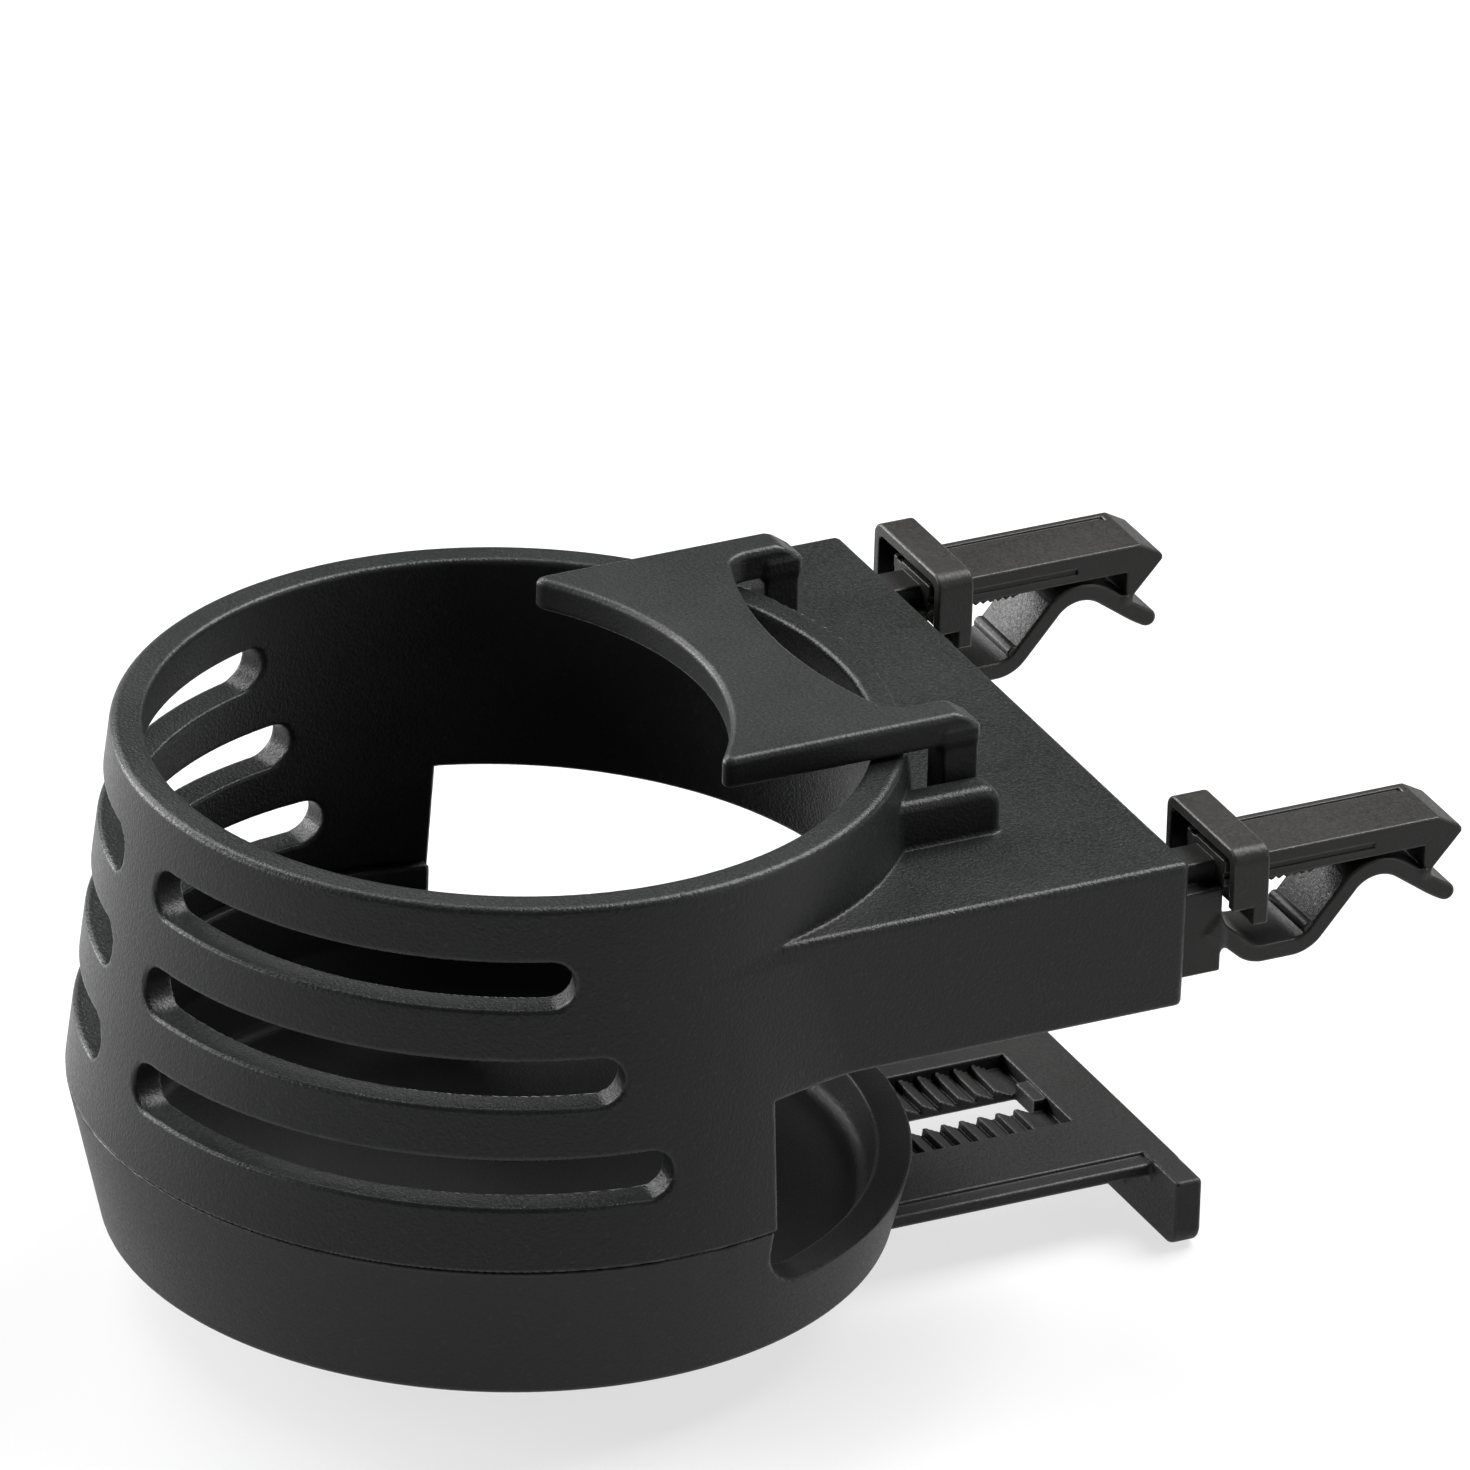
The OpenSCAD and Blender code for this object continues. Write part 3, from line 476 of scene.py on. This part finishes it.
# The support leg is a flat moulding that slides under the base. A slot and two rows of saw
# teeth run down its middle, a step runs along each side, and its wide foot leans on the
# dashboard. The sprung catch under the base holds it tooth by tooth.
LEG_X, LEG_LOW, LEG_TOP, LEG_FRONT, LEG_BACK = 21.5, -2.9, -0.3, -12.0, 78.3
MARGIN_X, MARGIN_TOP, MARGIN_LOW = 2.2, 0.5, 0.6
TRACK_X, TRACK_FRONT, TRACK_BACK, TRACK_Z = 9.0, 10.0, 70.7, -1.15
TOOTH_H, TOOTH_PITCH, RACK_Y, TEETH, CREST = 1.0, 2.4, 11.1, 24, (0.1, 0.4)
LEG_SLOT_FRONT, LEG_SLOT_END, LEG_SLOT_R, BRIDGE_X = 20.0, 69.1, 2.35, 2.5
FOOT_X, FOOT_LOW, FOOT_T, FOOT_CORNER = 28.0, -9.1, 3.4, 2.5
RIB_X, RIB_L, RIB_H = (13.0, 15.0), 5.0, 4.0


def leg_shape(x, y, z):
    x = np.abs(x)
    low = TRACK_Z - TOOTH_H
    foot_front = LEG_BACK - FOOT_T
    plate = block(x, y, z, (-LEG_X, LEG_FRONT, LEG_LOW), (LEG_X, LEG_BACK, LEG_TOP), 0.3)
    margin = np.maximum(LEG_X - MARGIN_X - x, y - LEG_BACK + FOOT_T)
    margin = np.maximum(margin, np.minimum(LEG_TOP - MARGIN_TOP - z, z - LEG_LOW - MARGIN_LOW))
    plate = cut(plate, margin, 0.2)
    track = np.maximum(np.maximum(x - TRACK_X, slab(y, TRACK_FRONT, TRACK_BACK)), low - z)
    plate = cut(plate, track, 0.2)
    saw = [(RACK_Y, low - 0.4)]
    for i in range(TEETH):
        start = RACK_Y + i * TOOTH_PITCH
        saw += [(start, low), *((start + run, low + TOOTH_H) for run in CREST)]
    rack_end = RACK_Y + TEETH * TOOTH_PITCH
    saw += [(rack_end, low), (rack_end, low - 0.4)]
    teeth = np.maximum(drawn(y, z, saw), x - TRACK_X - 0.1)
    foot = soft_edge(soft_edge(x - FOOT_X, FOOT_LOW - z, FOOT_CORNER), z - LEG_TOP, 0.5)
    foot = soft_edge(foot, slab(y, foot_front, LEG_BACK), 0.5)
    rib_side = [
        (foot_front - RIB_L, LEG_LOW + 0.2),
        (foot_front + 0.4, LEG_LOW + 0.2),
        (foot_front + 0.4, LEG_LOW - RIB_H),
    ]
    rib = soft_edge(slab(x, *RIB_X), drawn(y, z, rib_side), 0.2)
    body = fillet(np.minimum(plate, teeth), np.minimum(foot, rib), 0.5)
    bridge = np.maximum(x - BRIDGE_X, slab(y, LEG_SLOT_END - 0.2, TRACK_BACK + 0.2))
    bridge = np.maximum(bridge, slab(z, LEG_LOW + 0.2, TRACK_Z + 0.5))
    body = np.maximum(np.minimum(body, bridge), np.maximum(z - LEG_TOP, y - LEG_BACK))
    slot = np.hypot(x, np.maximum(LEG_SLOT_FRONT - y, 0)) - LEG_SLOT_R
    return cut(body, np.maximum(slot, y - LEG_SLOT_END), 0.15)


LEG_PLASTIC = moulded_plastic(
    "charcoal_leg_plastic",
    dark=(0.0062, 0.0070, 0.0061),
    light=(0.0088, 0.0098, 0.0086),
    worn_and_glint_tone=(0.042, 0.044, 0.042),
    grain=0.00038,
    depth=0.00006,
    rough=0.54,
)
LEG_BOX = ((-FOOT_X, LEG_FRONT, FOOT_LOW), (FOOT_X, LEG_BACK, LEG_TOP))
leg = mould("support_leg", leg_shape, *LEG_BOX, step=0.34, triangles=150000)
dress(leg, LEG_PLASTIC, "leg", "body_plastic", "leg")


# The two vent clips are alike. Each is one moulding in a slightly warmer, smoother plastic:
# a block with a hooked upper jaw and a sprung lower jaw, which turns on a stem in the box's
# rear wall. A separate collar slides along the upper jaw and squeezes the two together.
FIT = 0.15
CLIP_Y = BOX_BACK + FIT
JAW_X, JAW_LOW, JAW_TOP, JAW_L, ROOT_D, ROOT_DROP = 4.8, 3.4, 6.9, 36.8, 5.7, 7.4
NECK_X, NECK_TOP = 2.5, 5.9
STEM_R, STEM_FRONT = 2.42, -3.45
GRIP_H, GRIP_Y, GRIPS = 0.5, 9.9, 8
TOP_GROOVE_IN, TOP_GROOVE_HALF, TOP_GROOVE_DEPTH, TOP_GROOVE_END = 1.55, 0.5, 0.35, 32.8
SIDE_GROOVE_Z, SIDE_GROOVE_DEPTH, SIDE_GROOVE_END = (JAW_TOP - 2.3, JAW_TOP - 1.7), 0.25, 25.3
COLLAR_X, COLLAR_Y, COLLAR_L, COLLAR_TOP, COLLAR_SKIN = 8.7, 5.0, 4.6, 9.7, 1.4
COLLAR_CORNER, HOLLOW_CORNER, SKIRT_DROP, BLADE_T, BLADE_H = 1.8, 0.9, 1.2, 1.9, 2.8

# The lower jaw is a strip along a path of straight runs, each with a bend at its end: the
# run's length, the bend in degrees and the bend's radius.
SPRING_START, SPRING_HEADING, SPRING_HALF = (4.5, -1.45), -42, 1.1
SPRING_RUNS = ((5.78, 42, 4), (3.6, 50, 4), (6.55, -86, 5), (4.5, 8, 20))


def spring_outline():
    """The lower jaw's outline: it dips, climbs to a hump and falls to its lip."""
    at, turn = np.array(SPRING_START), math.radians(SPRING_HEADING)
    line = [(*at, turn)]
    for run, bend, r in SPRING_RUNS:
        at = at + run * np.array([math.cos(turn), math.sin(turn)])
        arm = math.copysign(r, bend)
        hub = at + arm * np.array([-math.sin(turn), math.cos(turn)])
        for k in range(1, 17):
            way = turn + math.radians(bend) * k / 16
            at = hub - arm * np.array([-math.sin(way), math.cos(way)])
            line.append((*at, way))
        turn = way
    over = [(u - SPRING_HALF * math.sin(a), v + SPRING_HALF * math.cos(a)) for u, v, a in line]
    under = [(u + SPRING_HALF * math.sin(a), v - SPRING_HALF * math.cos(a)) for u, v, a in line]
    u, v, a = line[-1]
    tip = []
    for k in range(1, 8):
        way = a + math.radians(90 - 22.5 * k)
        tip.append((u + SPRING_HALF * math.cos(way), v + SPRING_HALF * math.sin(way)))
    return over + tip + under[::-1]


SPRING = spring_outline()
HOOK_Y = JAW_L - 4.8
JAW = [
    (ROOT_D, JAW_LOW), (HOOK_Y, JAW_LOW), (HOOK_Y, 0.1), (HOOK_Y + 0.2, -0.1), (HOOK_Y + 0.8, -0.1),
    (JAW_L, 4.4), (JAW_L, 4.9), (JAW_L - 0.4, 5.4), (JAW_L - 3.1, JAW_TOP), (ROOT_D, JAW_TOP),
]


def jaw_shape(x, y, z):
    across = np.abs(x) - JAW_X
    bar = soft_edge(drawn(y, z, JAW), across, 0.3)
    root = soft_edge(soft_edge(slab(y, 0, ROOT_D), slab(z, -ROOT_DROP, JAW_LOW), 0.3), across, 0.3)
    neck = soft_edge(np.abs(x) - NECK_X, z - NECK_TOP, 0.4)
    neck_low = JAW_LOW - np.where(y < ROOT_D, 1, -0.2)
    neck = np.maximum(neck, np.maximum(slab(y, 0, ROOT_D + 0.8), neck_low - z))
    bar = np.minimum(bar, fillet(root, neck, 0.4))
    top_groove = np.maximum(JAW_TOP - TOP_GROOVE_DEPTH - z, slab(y, ROOT_D - 1, TOP_GROOVE_END))
    top_groove = np.maximum(np.abs(x + JAW_X - TOP_GROOVE_IN) - TOP_GROOVE_HALF, top_groove)
    side_groove = np.maximum(slab(z, *SIDE_GROOVE_Z), slab(y, ROOT_D - 1, SIDE_GROOVE_END))
    side_groove = np.maximum(-across - SIDE_GROOVE_DEPTH, side_groove)
    bar = cut(cut(bar, top_groove, 0.12), side_groove, 0.12)
    grip = np.maximum(slab(y, GRIP_Y, GRIP_Y + GRIPS), slab(z, JAW_LOW - GRIP_H, JAW_LOW + 0.3))
    share = (y - GRIP_Y) % 1
    grip = np.maximum(grip, (JAW_LOW - GRIP_H * (1 - np.abs(share - 0.25) * 1.3) - z) * 0.9)
    bar = np.minimum(bar, np.maximum(grip, across + 0.3))
    spring = soft_edge(drawn(y, z, SPRING), across, 0.4)
    rib = soft_edge(np.hypot(y - 17.4, z + 4.4) - 0.8, across + 0.2, 0.2)
    body = fillet(bar, np.minimum(spring, rib), np.where(z < 0.5, 1.1, 0.5))
    stem = soft_edge(np.hypot(x, z) - STEM_R, slab(y, STEM_FRONT, 1), 0.2)
    return np.minimum(body, stem)


def collar_shape(x, y, z):
    x = np.abs(x)
    blade_top = JAW_LOW - GRIP_H - FIT
    back = COLLAR_Y + COLLAR_L
    front = back - BLADE_T
    outer = soft_edge(x - COLLAR_X, z - COLLAR_TOP, COLLAR_CORNER)
    skirt = np.where(x > JAW_X + FIT, JAW_LOW - SKIRT_DROP, JAW_LOW + 0.3)
    hoop = soft_edge(outer, np.maximum(skirt - z, slab(y, COLLAR_Y, back)), 0.3)
    wall = soft_edge(outer, np.maximum(blade_top - BLADE_H - z, slab(y, front, back)), 0.3)
    hollow = soft_edge(x - COLLAR_X + COLLAR_SKIN, z - COLLAR_TOP + COLLAR_SKIN, HOLLOW_CORNER)
    hollow = np.maximum(hollow, y - front)
    way = soft_edge(x - JAW_X - FIT, np.maximum(z - JAW_TOP - FIT, blade_top - z), 0.2)
    return cut(cut(np.minimum(hoop, wall), hollow, 0.2), way, 0.2)


CLIP_PLASTIC = moulded_plastic(
    "black_clip_plastic",
    dark=(0.0115, 0.0109, 0.0104),
    light=(0.0158, 0.0150, 0.0143),
    worn_and_glint_tone=(0.050, 0.048, 0.046),
    grain=0.00040,
    depth=0.00005,
    rough=0.44,
)
JAW_BOX = ((-4.8, -3.5, -7.5), (4.8, 37, 7))
COLLAR_BOX = ((-8.7, 5, -0.1), (8.7, 9.6, 9.7))
for side, x in (("left", -CLIP_X), ("right", CLIP_X)):
    at = (x, CLIP_Y, CLIP_Z)
    jaw = mould("vent_jaw_" + side, jaw_shape, *JAW_BOX, step=0.22, triangles=60000, wear=0.2, shift=at)
    dress(jaw, CLIP_PLASTIC, "clip_" + side, "clip_plastic", "clip_jaw_" + side)
    collar = mould(
        "jaw_collar_" + side, collar_shape, *COLLAR_BOX, step=0.2, triangles=30000, wear=0.2, shift=at
    )
    dress(collar, CLIP_PLASTIC, "collar_" + side, "clip_plastic", "clip_collar_" + side)


# The parts below and inside are the box's cover, the guide that carries the leg, and the
# sprung catch. They have the leg's and the clips' plastics, and little of them shows from above.
for name, plastic in (("box_cover", LEG_PLASTIC), ("leg_guide", LEG_PLASTIC), ("leg_catch", CLIP_PLASTIC)):
    coat(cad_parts[name], plastic)


# Zinc plated screws hold the cover, the guide and the catch, and the washers and screws inside
# the box hold the clips' stems.
def plated_steel():
    finish = Finish("zinc_plated_steel", Metallic=1.0)
    spun = finish.speckle(0.0006, 3.0, 0.6)
    shade = finish.clamp(spun, 0.3, 0.7)
    finish.feed("Base Color", finish.between(shade, (0.42, 0.42, 0.43), (0.60, 0.60, 0.62)))
    finish.feed("Roughness", 0.26 + spun * 0.2)
    bump = finish.node("ShaderNodeBump", None, {"Strength": 0.3, "Distance": 0.00002, "Height": spun})
    finish.feed("Normal", bump)
    return finish.material


ZINC = plated_steel()
for name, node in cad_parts.items():
    if "screw" in name or "washer" in name:
        coat(node, ZINC)


# The studio: a grey floor that a plain glow brings up to white and that keeps a faint shadow, a
# surround that only the camera sees as white, and five soft lamps. The camera stands far off
# with a long lens, in front of the part, to its right and above it.
def white_floor():
    finish = Finish("white_floor", Specular_IOR_Level=0.1, Roughness=0.8, Emission_Strength=0.70)
    cloud = finish.clamp(finish.speckle(0.05), 0.3, 0.7)
    finish.feed("Base Color", finish.between(cloud, (0.19, 0.19, 0.19), (0.21, 0.21, 0.21)))
    finish.shader.inputs["Emission Color"].default_value = (1, 1, 1, 1)
    return finish.material


floor_z = cad_box[0][2] - 0.0002
bpy.ops.mesh.primitive_plane_add(size=8, location=(0, 0, floor_z))
floor = bpy.context.object
floor.name = "studio_floor"
floor.data.materials.append(white_floor())

world = bpy.data.worlds.new("studio")
scene.world = world
world.use_nodes = True
sky = world.node_tree
backdrop = sky.nodes["Background"]
seen = sky.nodes.new("ShaderNodeLightPath")
mix = sky.nodes.new("ShaderNodeMixShader")
white = sky.nodes.new("ShaderNodeBackground")
backdrop.inputs["Color"].default_value = (1, 1, 1, 1)
backdrop.inputs["Strength"].default_value = 0.04
white.inputs["Color"].default_value = (1, 1, 1, 1)
white.inputs["Strength"].default_value = 1.0
sky.links.new(seen.outputs["Is Camera Ray"], mix.inputs["Fac"])
sky.links.new(backdrop.outputs["Background"], mix.inputs[1])
sky.links.new(white.outputs["Background"], mix.inputs[2])
sky.links.new(mix.outputs["Shader"], sky.nodes["World Output"].inputs["Surface"])


def lamp(name, place, aim, size, power):
    data = bpy.data.lights.new(name, "AREA")
    data.shape = "DISK"
    data.size = size
    data.energy = power
    lamp_object = bpy.data.objects.new(name, data)
    scene.collection.objects.link(lamp_object)
    lamp_object.location = place
    lamp_object.rotation_euler = (Vector(aim) - Vector(place)).to_track_quat("-Z", "Y").to_euler()


MIDDLE = (0.0, 0.02, 0.03)
lamp("overhead_lamp", (-0.1, 0.6, 0.85), MIDDLE, 0.8, 23)
lamp("upper_left_lamp", (-0.8, -0.2, 0.8), MIDDLE, 0.8, 15)
lamp("left_lamp", (-0.9, -0.6, 0.3), MIDDLE, 0.5, 15)
lamp("front_lamp", (-0.35, -1.0, 0.4), MIDDLE, 0.5, 7)
lamp("right_lamp", (0.8, 0.8, 0.4), MIDDLE, 0.6, 3)

AIM = Vector((-4.126, 31.489, 48.666)) * 0.001
VIEW = Vector((0.7924, -0.4032, 0.4577)).normalized()
RIGHT = Vector((0.4404, 0.8974, 0.0280)).normalized()
UP = VIEW.cross(RIGHT)
SENSOR, FOCAL_PIXELS, PHOTO_PIXELS, AWAY = 36, 21519.5, 1470, 2.5
camera_data = bpy.data.cameras.new("camera")
camera_data.sensor_width = SENSOR
camera_data.lens = SENSOR * FOCAL_PIXELS / PHOTO_PIXELS
camera_data.clip_end = 20
camera = bpy.data.objects.new("camera", camera_data)
scene.collection.objects.link(camera)
turned = np.array([RIGHT, UP, VIEW]).T
spot = AIM + VIEW * AWAY
camera.matrix_world = Matrix([[*turned[k], spot[k]] for k in range(3)] + [[0, 0, 0, 1]])
scene.camera = camera

scene.view_settings.view_transform = "Standard"
